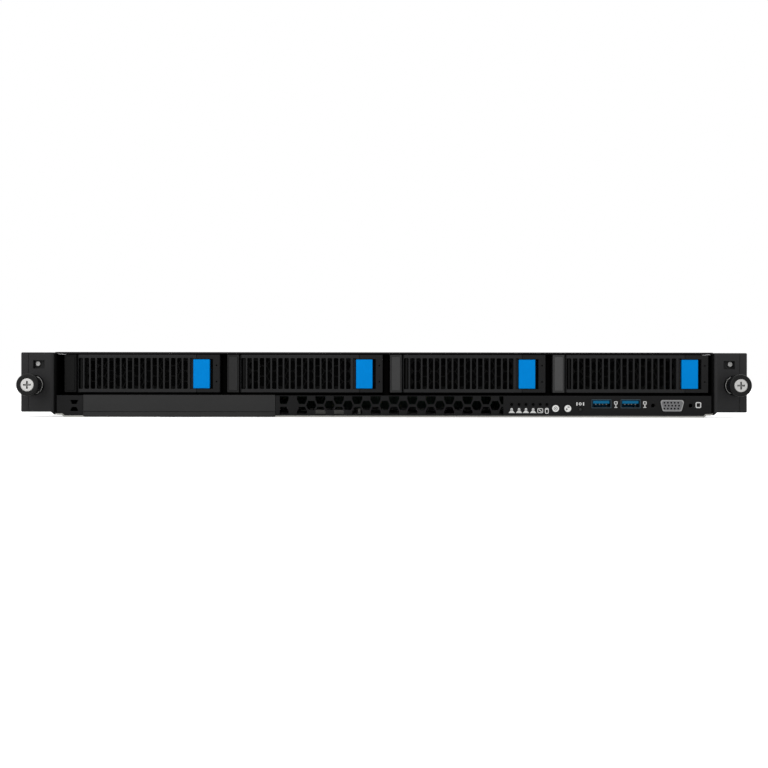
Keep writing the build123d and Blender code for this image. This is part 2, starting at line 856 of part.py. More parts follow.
def hinge_block():
    left = rect((0, block_width), (0, front_depth))
    left = chamfer(left.vertices().sort_by(Axis.Y)[:2], 0.7)
    body = along_z(left, *carrier_height)
    # A raised pad, framed by a step
    step = rect((-1, block_width + 1), (carrier_bottom - 1, carrier_top + 1))
    step -= rounded((1.3, block_width - 1.1), shrunk(carrier_height, 1.3), 0.5)
    return body - along_y(step, -1, 0.45)


def hinge_post():
    height = shrunk(slot_height, gap)
    axis = Pos(hinge_x, lever_depth)
    post = axis * Circle(hinge_post_radius)
    post += rect((hinge_x, hinge_x + 1.3), (lever_depth, screen_depth + touch))
    body = along_z(post, *height)
    pin = axis * Circle(hinge_pin_radius)
    return body + along_z(pin, height[0] - hinge_pin_length, height[1] + hinge_pin_length)


def carrier_rail():
    rail = rect((front_depth - touch, drive_offset + drive_length + 4), (carrier_bottom, carrier_top - 4))
    windows = [Pos(front_depth + 40 + 34 * place, carrier_middle) * SlotOverall(22, 8) for place in range(3)]
    return rail - windows


def carrier_frame():
    frame = hinge_block() + carrier_screen() + hinge_post()
    frame += block((lever_end + gap, carrier_width), (0, front_depth), carrier_height)
    frame += block((latch_left - 1.8, carrier_width), (screen_depth, front_depth), carrier_height)
    pocket_x = (latch_left - 0.6, carrier_width - pocket_margin)
    frame -= block(pocket_x, (-1, latch_depth + latch_travel + 1.0), pocket_height)
    for z in around(carrier_middle, status_hole_spacing):
        frame -= rod_y(carrier_width - status_hole_margin, z, status_hole_radius, -1, front_depth + 1)
    for x in (0, carrier_width - rail_sheet):
        frame += along_x(carrier_rail(), x, x + rail_sheet)
    return frame


def carrier_lever():
    axis = Pos(hinge_x, lever_depth)
    corner = axis * Circle(hinge_radius)
    plan = rect((hinge_x, lever_end), (0, lever_depth))
    plan += corner & rect((0, hinge_x + touch), (-1, lever_depth))
    lever = along_z(plan, *carrier_height)
    lever += along_z(corner, carrier_bottom, slot_height[0])
    lever += along_z(corner, slot_height[1], carrier_top)
    slots = []
    for index in range(slot_count):
        start = slot_start + slot_pitch * index
        slots.append(rounded((start, start + slot_width), slot_height, slot_corner))
    lever -= along_y(Sketch(children=slots), -1, lever_depth + 1)
    groove = rect((latch_left - latch_groove, latch_left), slot_height)
    lever -= along_y(groove, -1, lever_depth - 0.8)
    lever -= block((latch_left - gap, lever_end + 1), (-1, lever_depth + 1), pocket_height)
    lever -= along_z(axis * Circle(hinge_post_radius + gap), *slot_height)
    bore = axis * Circle(hinge_pin_radius + hinge_clearance)
    return lever - along_z(bore, slot_height[0] - 1.5, slot_height[1] + 1.5)


def carrier_latch():
    front = rounded((latch_left, latch_left + latch_width), shrunk(pocket_height, gap), 0.3)
    latch = along_y(front, 0, latch_depth)
    return chamfer(latch.faces().sort_by(Axis.Y)[0].edges(), 0.25)


def drive():
    width = shrunk((0, carrier_width), rail_sheet)
    length = (drive_offset, drive_offset + drive_length)
    top = drive_bottom + drive_height
    casting = along_z(fillet(rect(width, length).vertices(), 2.0), drive_bottom, top - 1.0)
    lid = rounded(shrunk(width, 4), (length[0] + 3, length[1] - 12), 9)
    casting += along_z(lid, top - 1.1, top)
    casting -= along_z(Pos(carrier_width / 2, length[0] + 60) * Circle(12), top - 0.4, top)
    for x in shrunk(width, 9):
        for y in (length[0] + 8, length[0] + 66, length[1] - 18):
            casting -= along_z(Pos(x, y) * Circle(1.8), top - 0.6, top)
    socket = (drive_bottom + 2, drive_bottom + 8.2)
    return casting - block(around(connector_x, connector_width + 2), (length[1] - 6, length[1] + 1), socket)


carrier_parts = {
    "frame": carrier_frame(),
    "lever": carrier_lever(),
    "latch": carrier_latch(),
    "drive": drive(),
}
for number in range(carrier_count):
    place = Pos(carrier_left + number * carrier_pitch, face, 0)
    for name, shape in carrier_parts.items():
        save(f"carrier_{number + 1}_{name}", place * shape)


# Drive backplane with one connector behind each drive
def drive_backplane():
    start = cage_end + gap
    board = rect((-half_inside + 1.5, half_inside - 1.5), (3.0, wall_top - 1.0))
    first = -half_body + 14.0
    hole_z = [wall_top - drop for drop in backplane_hole_drops]
    hole_pitch = (2 * half_body - 20.4) / backplane_holes
    for index in range(backplane_holes):
        left = first + index * hole_pitch
        board -= rounded((left, left + hole_pitch - 14.2), hole_z, 3.0)
    shape = along_y(board, start, start + backplane_sheet)
    for number in range(carrier_count):
        width = around(carrier_left + number * carrier_pitch + connector_x, connector_width)
        shape += block(width, (drive_end - 5.0, start + touch), (drive_bottom + 2.4, drive_bottom + 7.8))
    return shape


save("drive_backplane", drive_backplane())


# Fans: a bracket across the body, six frames and six rotors
def fan_cage():
    edge = half_floor - gap
    front = fan_front - gap
    wall = rect((-edge, edge), (sheet, wall_top - 1.5))
    for x in fan_x:
        wall -= Pos(x, fan_z) * Circle(fan_bore_radius)
    cage = along_y(wall, front - sheet, front)
    cage += block((-edge, edge), (front - touch, fan_front + 36), (sheet, 2 * sheet))
    cheek_spacing = fan_size + 2 * gap + sheet
    for x in fan_x:
        for cheek_x in around(x, cheek_spacing):
            cage += block(around(cheek_x, sheet), (front - touch, fan_front + fan_length), (sheet, 24.0))
    return cage


def fan_frame(x):
    middle = Pos(x, fan_z)
    back = (fan_front + fan_length - fan_strut, fan_front + fan_length)
    ring = fillet(Rectangle(fan_size, fan_size).vertices(), 2.0) - Circle(fan_bore_radius)
    arm = Pos(fan_bore_radius / 2, 0) * Rectangle(fan_bore_radius + 0.4, 2.0)
    struts = Sketch(children=[Rot(0, 0, 120 * index + 30) * arm for index in range(3)])
    hub = Circle(fan_hub_radius) - Circle(fan_axle_radius + 0.06)
    struts = (struts & Circle(fan_bore_radius + 0.2)) - Circle(fan_hub_radius) + hub
    return along_y(middle * ring, fan_front, back[1]) + along_y(middle * struts, *back)


def fan_rotor(x):
    start = fan_front + 3.0
    length = fan_length - 6.0 - gap
    tip = fan_bore_radius - 0.5
    upright = (Align.CENTER, Align.CENTER, Align.MIN)
    rotor = Cylinder(fan_hub_radius, length, align=upright)
    rotor = fillet(rotor.edges().group_by(Axis.Z)[0], 1.5)
    rotor += Cylinder(fan_axle_radius, length + fan_strut - 0.2, align=upright)
    root = fan_hub_radius - 1
    outline = Polygon((root, -6), (tip + 1, -9), (tip + 1, 9), (root, 6), align=None)
    blade = extrude(outline, amount=blade_sheet / 2, both=True)
    blade = Pos(0, 0, length / 2) * Rot(blade_pitch, 0, 0) * blade
    blade &= Cylinder(tip, length, align=upright)
    for index in range(fan_blades):
        rotor += Rot(0, 0, 360 / fan_blades * index) * blade
    return Pos(x, start, fan_z) * Rot(-90, 0, 0) * rotor


save("fan_cage", fan_cage())
save("fan_frames", *[fan_frame(x) for x in fan_x])
for index, x in enumerate(fan_x):
    save(f"fan_rotor_{index + 1}", fan_rotor(x))


# Motherboard, heat sink, memory and air duct
def memory_socket(x):
    length = around(cpu_y, dimm_length + 10)
    body = block(around(x, dimm_socket), length, (board_top - touch, board_top + 7.0))
    groove_length = around(cpu_y, dimm_length + 0.2)
    return body - block(around(x, dimm_sheet + 0.1), groove_length, (board_top + 2.0, board_top + 8.0))


def motherboard():
    board = block((board_left, board_right), (board_front, board_rear), (board_bottom, board_top))
    chip_z = (board_top - touch, board_top + 3.0)
    board += block(around(cpu_x, 2 * cpu_half[0]), around(cpu_y, 2 * cpu_half[1]), chip_z)
    for x in memory_x:
        board += memory_socket(x)
    # The second large chip with its low heat sink
    chip_x = cpu_x + chip_offset[0]
    chip_y = cpu_y + chip_offset[1]
    board += block(around(chip_x, chip_width), around(chip_y, chip_width), chip_z)
    for fin in range(8):
        fin_x = chip_x + (fin - 3.5) * chip_width / 8
        board += block(around(fin_x, 1.2), around(chip_y, chip_width - 2.0), (board_top + 2.9, board_top + 9.0))
    # Power and data connectors along the front edge
    connector_z = (board_top - touch, board_top + 9.0)
    for index in range(3):
        left = board_left + 8.0 + 34.0 * index
        board += block((left, left + 26.0), (board_front + 3, board_front + 12), connector_z)
    return board


def heatsink():
    length = around(cpu_y, 2 * heatsink_half[1])
    body = block(around(cpu_x, 2 * heatsink_half[0]), length, (board_top + 3.0, board_top + 7.0))
    pitch = 2 * (heatsink_half[0] - 1.4) / (heatsink_fins - 1)
    for fin in range(heatsink_fins):
        x = cpu_x + (fin - (heatsink_fins - 1) / 2) * pitch
        body += block(around(x, 0.8), length, (board_top + 6.9, duct_ceiling - 2.8))
    return body


def memory_module(x):
    return block(around(x, dimm_sheet), around(cpu_y, dimm_length), (board_top + 2.3, duct_ceiling - 0.8))


def air_duct():
    width = around(cpu_x, 2 * duct_half)
    outer = fillet(rect(width, (board_top, duct_top)).vertices().sort_by(Axis.Y)[-2:], 3.0)
    inner = rect(shrunk(width, duct_sheet), (board_top - 1, duct_ceiling))
    return along_y(outer - inner, board_front + 14, cpu_y + 78)


save("motherboard", motherboard())
save("heatsink", heatsink())
save("memory_modules", *[memory_module(x) for x in memory_x])
save("air_duct", air_duct())


# Rear ports, riser bracket and slot covers
def lan_mouth(x):
    low = board_top + 1.6
    return rect(around(x, 11.8), (low, low + 8.0)) + rect(around(x, 6.0), (low + 7.4, low + 10.0))


def port(name, x, width, height):
    top = board_top + height - gap
    shell = block(around(x, width - 0.4), (rear - port_depth, rear + port_proud), (board_top, top))
    if name.startswith("lan"):
        return shell - along_y(lan_mouth(x), rear - 13.0, rear + 1)
    if name.startswith("usb"):
        for low in (board_top + 1.2, board_top + 8.6):
            shell -= block(around(x, 12.4), (rear - 12, rear + 1), (low, low + 5.1))
            shell += block(around(x, tongue_width), (rear - 12.1, rear - 0.6), (low + 2.6, low + 4.5))
        return shell
    middle = Pos(x, board_top + 6.2)
    around_plug = block(around(x, width + 1), (rear_wall, rear + 1), (board_top + 1, top + 1))
    shell -= around_plug - along_y(middle * vga_outline(-0.1), rear_wall - 1, rear + port_proud)
    return shell - along_y(middle * vga_outline(-0.7), rear - 4, rear + 1)


def rear_ports():
    return [port(name, board_left + offset_x, *size) for name, (offset_x, *size) in io_ports.items()]


def riser():
    left = slot_x[0] - 4.0
    top = wall_top - 0.8
    length = (460.0, rear_wall - gap)
    bracket = block((left, slot_x[1] + 4.0), length, (top - sheet, top))
    bracket += block((left, left + sheet), length, (board_top, top))
    card_left = left + sheet
    card = block((card_left, card_left + 1.6), (470.0, 610.0), (board_top + gap, top - sheet - 1.2))
    card += block((card_left + 1.5, card_left + 9.5), (500.0, 589.0), (26.0, 34.0))
    return [bracket, card]


def slot_covers():
    tall = rounded(shrunk(slot_x, gap), shrunk(slot_z, gap), 0.5)
    first = slot_x[0] + slot_hole_margins[0]
    for index in range(int((slot_x[1] - first) / slot_hole_pitch)):
        left = first + slot_hole_pitch * index
        tall -= rounded((left, left + slot_hole_width), shrunk(slot_z, slot_hole_margins[1]), 2.0)
    tall = along_y(tall, rear_wall, rear)
    lip_top = slot_z[1] - gap
    tall += block(shrunk(slot_x, gap), (rear - 10, rear_wall + touch), (lip_top - 1.0, lip_top))
    low = along_y(rounded(shrunk(module_x, gap), shrunk(module_z, gap), 0.5), rear_wall, rear)
    lip_bottom = module_z[0] + gap
    low += block(shrunk(module_x, gap), (rear - 22, rear_wall + touch), (lip_bottom, lip_bottom + 1.0))
    return [tall, low]


save("rear_ports", *rear_ports())
save("riser", *riser())
save("slot_covers", *slot_covers())


# Power supplies: case with inlet and grille, loop handle and sprung latch
def psu_case():
    case = block((0, psu_width), (psu_front, psu_face), (psu_bottom, psu_top))
    case = fillet(case.edges().filter_by(Axis.Y), 0.8)
    inlet = rounded(around(inlet_x, inlet_width), around(psu_middle + 0.3, inlet_height), 2.0)
    inlet_back = psu_face - inlet_depth
    case -= along_y(inlet, inlet_back, psu_face + 1)
    for x, z in ((-3.5, -7), (-3.5, 7), (3.5, 0)):
        pin_z = around(psu_middle + z, 4.0)
        case += block(around(inlet_x + x, 2.0), (inlet_back - touch, psu_face - 3), pin_z)
    grille = Sketch(children=[Circle(radius + 1.2) - Circle(radius - 1.2) for radius in grille_radii])
    grille = grille - Rectangle(40, 1.6) - Rectangle(1.6, 40)
    case -= along_y(Pos(grille_x, psu_middle) * grille, psu_face - 4.0, psu_face + 1)
    half_latch = psu_latch_sheet / 2 + gap
    slot_x_limits = (psu_latch_x - half_latch - psu_latch_travel, psu_latch_x + half_latch)
    slot = rect(slot_x_limits, around(psu_middle, psu_latch_height + 2 * gap))
    return case - along_y(slot, psu_face - psu_latch_tail - 0.5, psu_face + 1)


def psu_handle():
    height = around(psu_middle, handle_height)
    outer = rect((psu_face, psu_face + handle_reach), height)
    outer = fillet(outer.vertices().sort_by(Axis.X)[-2:], 6.0)
    inner = rect((psu_face - 1, psu_face + finger_gap), shrunk(height, handle_reach - finger_gap))
    inner = fillet(inner.vertices().sort_by(Axis.X)[-2:], 4.0)
    return along_x(outer - inner, *around(handle_x, handle_sheet))


def psu_latch():
    length = (psu_face - psu_latch_tail, psu_face + psu_latch_reach)
    profile = rounded(length, around(psu_middle, psu_latch_height), 1.5)
    return along_x(profile, *around(psu_latch_x, psu_latch_sheet))


for number in range(psu_count):
    place = Pos(psu_left + number * psu_pitch, 0, 0)
    save(f"power_supply_{number + 1}_case", place * psu_case())
    save(f"power_supply_{number + 1}_handle", place * psu_handle())
    save(f"power_supply_{number + 1}_latch", place * psu_latch())
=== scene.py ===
import math

import bmesh
import bpy
from mathutils import Matrix, Vector


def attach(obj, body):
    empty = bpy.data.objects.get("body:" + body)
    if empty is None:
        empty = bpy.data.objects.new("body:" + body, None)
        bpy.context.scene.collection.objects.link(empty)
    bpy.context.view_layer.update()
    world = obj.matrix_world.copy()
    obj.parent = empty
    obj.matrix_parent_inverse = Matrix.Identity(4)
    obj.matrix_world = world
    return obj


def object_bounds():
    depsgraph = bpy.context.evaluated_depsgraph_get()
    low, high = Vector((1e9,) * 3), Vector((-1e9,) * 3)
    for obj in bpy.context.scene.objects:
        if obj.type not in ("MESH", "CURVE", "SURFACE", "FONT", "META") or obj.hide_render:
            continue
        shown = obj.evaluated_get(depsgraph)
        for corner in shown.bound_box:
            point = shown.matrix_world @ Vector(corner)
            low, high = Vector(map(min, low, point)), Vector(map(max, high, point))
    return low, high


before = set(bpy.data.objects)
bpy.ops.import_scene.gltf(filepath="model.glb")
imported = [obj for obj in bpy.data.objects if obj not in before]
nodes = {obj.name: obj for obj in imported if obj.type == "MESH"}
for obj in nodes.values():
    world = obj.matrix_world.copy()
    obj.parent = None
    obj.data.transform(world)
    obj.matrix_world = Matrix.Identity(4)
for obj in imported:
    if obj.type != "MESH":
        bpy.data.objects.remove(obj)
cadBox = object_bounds()
scene = bpy.context.scene
mm = 0.001
print("frame loaded:", len(nodes), "nodes")

# Camera: straight on, level with the middle of the body
cameraSet = {
    "sharpPlane": -6.0 * mm,  # front face of the ears, where the photograph's scale was read
    "distance": 913.0 * mm,
    "pixelsPerMetre": 1504.4,
    "framePixels": 768,
    "middlePixel": (384.05, 352.27),  # the frame's middle column, and the row of the top cover
    "topHeight": 43.2 * mm,
    "roll": 0.065,  # degrees: the photograph's right side hangs a little lower
    "sensor": 36.0,
}


def placeCamera(values):
    frameWidth = values["framePixels"] / values["pixelsPerMetre"]
    half = values["framePixels"] / 2
    across = (half - values["middlePixel"][0]) / values["pixelsPerMetre"]
    height = values["topHeight"] + (values["middlePixel"][1] - half) / values["pixelsPerMetre"]
    data = bpy.data.cameras.new("photoCamera")
    data.sensor_width = values["sensor"]
    data.lens = values["sensor"] * values["distance"] / frameWidth
    data.clip_start = 0.01
    data.clip_end = 50
    camera = bpy.data.objects.new("photoCamera", data)
    scene.collection.objects.link(camera)
    camera.location = (across, values["sharpPlane"] - values["distance"], height)
    level = Matrix.Rotation(math.radians(90), 4, "X")
    camera.rotation_euler = (level @ Matrix.Rotation(math.radians(values["roll"]), 4, "Z")).to_euler()
    scene.camera = camera


placeCamera(cameraSet)
scene.view_settings.view_transform = "Standard"
print("camera placed")


# Shader maths: a wire holds one socket, and expressions on wires add Math nodes
class Wire:
    def __init__(self, finish, socket):
        self.finish = finish
        self.socket = socket

    def maths(self, operation, *others, swap=False):
        values = list(others[:1]) + [self] + list(others[1:]) if swap else [self] + list(others)
        sockets = dict(enumerate(values))
        return self.finish.node("ShaderNodeMath", {"operation": operation}, sockets)

    def __add__(self, other):
        return self.maths("ADD", other)

    def __sub__(self, other):
        return self.maths("SUBTRACT", other)

    def __rsub__(self, other):
        return self.maths("SUBTRACT", other, swap=True)

    def __mul__(self, other):
        return self.maths("MULTIPLY", other)

    def __gt__(self, other):
        return self.maths("GREATER_THAN", other)

    def __lt__(self, other):
        return self.maths("LESS_THAN", other)

    __radd__ = __add__
    __rmul__ = __mul__

    def size(self):
        return self.maths("ABSOLUTE")

    def power(self, exponent):
        return self.maths("POWER", exponent)


class Finish:
    def __init__(self, name):
        self.material = bpy.data.materials.new(name)
        self.material.use_nodes = True
        self.tree = self.material.node_tree
        self.tree.nodes.clear()
        self.output = self.tree.nodes.new("ShaderNodeOutputMaterial")
        self.shader = self.tree.nodes.new("ShaderNodeBsdfPrincipled")
        self.tree.links.new(self.shader.outputs[0], self.output.inputs[0])
        self.place = self.node("ShaderNodeTexCoord", out="Object")

    def node(self, kind, settings=None, sockets=None, out=0):
        made = self.tree.nodes.new(kind)
        for key, value in (settings or {}).items():
            setattr(made, key, value)
        for key, value in (sockets or {}).items():
            self.feed(made.inputs[key], value)
        return Wire(self, made.outputs[out])

    def feed(self, socket, value):
        if isinstance(value, Wire):
            self.tree.links.new(value.socket, socket)
        elif socket.type == "RGBA" and len(value) == 3:
            socket.default_value = (*value, 1)
        else:
            socket.default_value = value

    def set(self, **values):
        for key, value in values.items():
            self.feed(self.shader.inputs[key.replace("_", " ")], value)
        return self

    def noise(self, scale, detail=2.0, rough=0.5, stretch=(1, 1, 1)):
        vector = self.place
        if stretch != (1, 1, 1):
            vector = self.node("ShaderNodeMapping", {}, {"Vector": self.place, "Scale": stretch})
        return self.node(
            "ShaderNodeTexNoise", {}, {"Vector": vector, "Scale": scale, "Detail": detail, "Roughness": rough}
        )

    def cells(self, scale, out="Color"):
        return self.node("ShaderNodeTexVoronoi", {}, {"Vector": self.place, "Scale": scale}, out)

    def axes(self):
        parts = self.node("ShaderNodeSeparateXYZ", {}, {0: self.place})
        source = parts.socket.node
        return [Wire(self, source.outputs[index]) for index in range(3)]

    def blend(self, factor, first, second):
        return self.node("ShaderNodeMix", {"data_type": "RGBA"}, {0: factor, 6: first, 7: second}, out=2)

    def spread(self, wire, low, high, lowTo, highTo):
        return self.node("ShaderNodeMapRange", {}, {0: wire, 1: low, 2: high, 3: lowTo, 4: highTo})

    def bump(self, height, distance, strength=1.0, edge=0.0):
        sockets = {"Strength": strength, "Distance": distance, "Height": height}
        if edge:
            sockets["Normal"] = self.node("ShaderNodeBevel", {"samples": 4}, {"Radius": edge})
        self.feed(self.shader.inputs["Normal"], self.node("ShaderNodeBump", {}, sockets))
        return self

    # Where the surface lies between limits in millimetres, given by axis
    def within(self, **limits):
        mask = None
        for name, wire in zip("xyz", self.axes()):
            if name in limits:
                low, high = limits[name]
                inside = (wire > low * mm) * (wire < high * mm)
                mask = inside if mask is None else mask * inside
        return mask

    # Distance from a line along Y
    def fromAxis(self, across, up):
        return (across.power(2) + up.power(2)).power(0.5)

    # A layer over what the shader shows so far, where the mask is 1
    def over(self, mask, **values):
        for key, value in values.items():
            socket = self.shader.inputs[key.replace("_", " ")]
            below = Wire(self, socket.links[0].from_socket) if socket.is_linked else socket.default_value
            if socket.type == "RGBA":
                below = below if isinstance(below, Wire) else tuple(below)
                self.feed(socket, self.blend(mask, below, value))
            else:
                self.feed(socket, mask * value + (1 - mask) * below)
        return self


def shade(colour, factor):
    return tuple(channel * factor for channel in colour)


def grey(tone):
    return tone, tone, tone


# Paints and moulded plastics
finishSet = {
    "coverPaint": {
        "colour": (0.0045, 0.0045, 0.0047), "rough": 0.5, "gloss": 0.16, "grain": 1900, "depth": 0.03,
    },
    "earPaint": {
        "colour": (0.0145, 0.0145, 0.015), "rough": 0.46, "gloss": 0.12, "grain": 1700, "depth": 0.03,
    },
    # the cage: black paint, made darker still as painted shade for the gap under the carriers
    "cagePaintAndShade": {
        "colour": (0.0012, 0.0012, 0.0012), "rough": 0.7, "gloss": 0.02, "grain": 1900, "depth": 0.02,
    },
    "panelPlastic": {
        "colour": (0.0052, 0.0052, 0.0054), "rough": 0.46, "gloss": 0.09, "grain": 2600, "depth": 0.012,
    },
    "blankPlastic": {
        "colour": (0.0115, 0.0115, 0.0115), "rough": 0.38, "gloss": 0.18, "grain": 2600, "depth": 0.012,
    },
    "framePlastic": {
        "colour": (0.0095, 0.0095, 0.0097), "rough": 0.5, "gloss": 0.07, "grain": 2400, "depth": 0.015,
    },
    "leverPlastic": {
        "colour": (0.012, 0.012, 0.0124), "rough": 0.42, "gloss": 0.1, "grain": 2400, "depth": 0.015,
    },
    "blackPlastic": {
        "colour": (0.006, 0.006, 0.006), "rough": 0.42, "gloss": 0.3, "grain": 2200, "depth": 0.02,
    },
    "capPlastic": {
        "colour": (0.003, 0.003, 0.003), "rough": 0.36, "gloss": 0.12, "grain": 2200, "depth": 0.02,
    },
    "collarPaint": {
        "colour": (0.003, 0.003, 0.003), "rough": 0.4, "gloss": 0.1, "grain": 2200, "depth": 0.01,
    },
}
wornEdge = 0.25 * mm
steelColour = (0.36, 0.358, 0.35)
zincColour = (0.41, 0.406, 0.39)
blueColour = (0.0, 0.2, 0.585)


def texturedBlack(name):
    values = finishSet[name]
    finish = Finish(name)
    grain = finish.noise(values["grain"], 3.0, 0.6)
    cloud = finish.noise(28, 3.0, 0.55)
    dust = finish.noise(620, 2.0, 0.7)
    base = finish.blend(cloud, shade(values["colour"], 0.82), shade(values["colour"], 1.2))
    specks = finish.spread(dust, 0.68, 0.8, 0.0, 0.3)
    finish.set(
        Base_Color=finish.blend(specks, base, shade(values["colour"], 2.0)),
        Roughness=finish.spread(cloud, 0.3, 0.7, values["rough"] - 0.02, values["rough"] + 0.03),
        Specular_IOR_Level=values["gloss"],
    )
    return finish.bump(grain, values["depth"] * mm, 0.5, wornEdge)


# Bare zinc-coated sheet: small faint crystals, rolling streaks and a few rubbed places
def galvanised(name, colour, crystals=330.0):
    finish = Finish(name)
    tone = finish.node("ShaderNodeSeparateColor", {}, {0: finish.cells(crystals)})
    streaks = finish.noise(70, 4.0, 0.6, stretch=(1, 0.08, 1))
    rubbed = finish.spread(finish.noise(9, 5.0, 0.65), 0.5, 0.72, 0.0, 1.0)
    mixed = tone * 0.45 + streaks * 0.55
    plain = finish.blend(mixed, shade(colour, 0.9), shade(colour, 1.07))
    finish.set(
        Base_Color=finish.blend(rubbed * 0.35, plain, shade(colour, 1.16)),
        Metallic=1.0,
        Roughness=finish.spread(mixed - rubbed * 0.2, 0.1, 0.9, 0.56, 0.68),
    )
    fine = finish.noise(1500, 2.0, 0.6)
    return finish.bump(fine, 0.01 * mm, 0.4, wornEdge)


def nickel(name, colour, rough):
    finish = Finish(name)
    smear = finish.noise(320, 3.0, 0.6)
    finish.set(
        Base_Color=finish.blend(smear, shade(colour, 0.9), colour),
        Metallic=1.0,
        Roughness=finish.spread(smear, 0.3, 0.7, rough - 0.05, rough + 0.08),
    )
    return finish.bump(finish.noise(2600, 2.0, 0.5), 0.004 * mm, 0.4)


def glossPlastic(name, colour, rough, gloss):
    finish = Finish(name)
    cloud = finish.noise(90, 2.0, 0.5)
    finish.set(
        Base_Color=finish.blend(cloud, shade(colour, 0.96), shade(colour, 1.03)),
        Roughness=finish.spread(cloud, 0.3, 0.7, rough - 0.04, rough + 0.05),
        Specular_IOR_Level=gloss,
    )
    return finish.bump(finish.noise(2400, 2.0, 0.5), 0.006 * mm, 0.35)


def circuitBoard(name, mask, copper):
    finish = Finish(name)
    traces = finish.node(
        "ShaderNodeTexBrick",
        {"offset": 0.37, "squash": 2.0},
        {
            "Vector": finish.place, "Scale": 95.0, "Mortar Size": 0.018,
            "Color1": (1, 1, 1), "Color2": (0.7, 0.7, 0.7),
        },
        out="Fac",
    )
    lands = finish.cells(260.0, out="Distance")
    pads = finish.spread(lands, 0.16, 0.2, 1.0, 0.0)
    base = finish.blend(traces * 0.55, mask, shade(mask, 2.6))
    finish.set(
        Base_Color=finish.blend(pads * 0.5, base, copper),
        Metallic=pads * 0.5,
        Specular_IOR_Level=0.2,
        Roughness=finish.spread(finish.noise(40), 0.3, 0.7, 0.28, 0.4),
    )
    return finish.bump(traces, 0.02 * mm, 0.5)


def castAluminium(name, colour, rough):
    finish = Finish(name)
    brushed = finish.noise(220, 3.0, 0.6, stretch=(1, 14, 1))
    finish.set(
        Base_Color=finish.blend(brushed, shade(colour, 0.82), shade(colour, 1.08)),
        Metallic=1.0,
        Roughness=finish.spread(brushed, 0.3, 0.7, rough - 0.06, rough + 0.1),
        Specular_IOR_Level=0.03,
    )
    return finish.bump(brushed, 0.01 * mm, 0.4)


# Black plastic, dark paint or painted shade over part of a piece that is otherwise metal or board
def blackOver(finish, mask, tone):
    return finish.over(mask, Base_Color=grey(tone), Metallic=0.0, Roughness=0.5)


# Base tray: the front lip is darker than the rest; painted shade darkens it further behind the vent, and almost
# to black on the upper front
traySet = {
    "lip": ({"y": (-10, 6), "z": (-1, 14.5)}, (0.27, 0.268, 0.25)),
    # painted shade behind the vent and on the upper front
    "behindVentShade": ({"x": (-60, 60), "y": (-10, 20), "z": (1.3, 14.5)}, (0.1, 0.1, 0.094)),
    "upperFrontShade": ({"y": (-10, 8), "z": (14.5, 60)}, (0.012, 0.012, 0.012)),
}


def trayFinish(values):
    finish = galvanised("traySteel", zincColour)
    for limits, colour in values.values():
        finish.over(finish.within(**limits), Base_Color=colour)
    return finish


# Front cover: the hem lies in the panel's shade
coverSet = {"hem": (-9, 2.5), "hemTone": 0.0006}


def coverFinish(values):
    finish = texturedBlack("coverPaint")
    return finish.over(finish.within(y=values["hem"]), Base_Color=grey(values["hemTone"]))


# Carriers: the screen lies deep in shade and gets painted shade, as does the hinge post behind the first slot;
# the pad on each hinge block gets painted light, darkest on the left carrier and lightest on the right
carrierSet = {
    "firstLeft": -212.7,
    "pitch": 108.3,
    "screenTone": 0.007,
    "postX": (8.2, 17.0),
    "postPaintedShade": 0.001,
    "padX": (-0.1, 7.9),
    "padFace": (-6, -4.8),
    "postFace": (-5, 1),
    "screenFace": (1.0, 4),
    "padInner": {"x": (1.3, 6.7), "z": (17.8, 40.2)},
    "padPaintedLight": (0.002, 0.06),  # from the left carrier to the right one
    "borderShare": 0.6,  # how light the pad's border is next to the pad
}


def carrierFinish(values):
    finish = texturedBlack("framePlastic")
    across, along, up = finish.axes()
    first = values["firstLeft"]
    local = (across - first * mm).maths("FLOORED_MODULO", values["pitch"] * mm)

    def between(limits):
        return (local > limits[0] * mm) * (local < limits[1] * mm)

    pad = between(values["padX"]) * finish.within(y=values["padFace"])
    # painted light across the row: the pads grow lighter from the left carrier to the right one
    reach = finish.spread(across, first * mm, (first + 3 * values["pitch"]) * mm, 0, 1)
    padPaintedColours = [grey(tone) for tone in values["padPaintedLight"]]
    finish.over(pad, Base_Color=finish.blend(reach, *padPaintedColours))
    raised = between(values["padInner"]["x"]) * finish.within(z=values["padInner"]["z"])
    # the pad's border is 0.6 times as light, with the same painted light across the row
    borderPaintedColours = [shade(colour, values["borderShare"]) for colour in padPaintedColours]
    finish.over(pad * (1 - raised), Base_Color=finish.blend(reach, *borderPaintedColours))
    # painted shade on the hinge post, deep behind the lever opening
    post = between(values["postX"]) * finish.within(y=values["postFace"])
    finish.over(post, Base_Color=grey(values["postPaintedShade"]))
    return finish.over(finish.within(y=values["screenFace"]), Base_Color=grey(values["screenTone"]))


# Drives: the front end is in the dark behind the screen
driveSet = {"colour": (0.36, 0.36, 0.368), "rough": 0.46, "darkEnd": (0, 14), "darkTone": 0.0015}


def driveFinish(values):
    finish = castAluminium("driveCasting", values["colour"], values["rough"])
    return blackOver(finish, finish.within(y=values["darkEnd"]), values["darkTone"])


# Thumbscrews: a steel screw in a black cap, with painted shade in the screw's recess, over a black collar with a
# worn rim
screwSet = {
    "across": 232.55,
    "up": 21.3,
    "headRadius": 4.32,
    "recess": (-24.35, -22.0),
    "rimRadius": 5.75,
    "rimFront": -8.35,
}


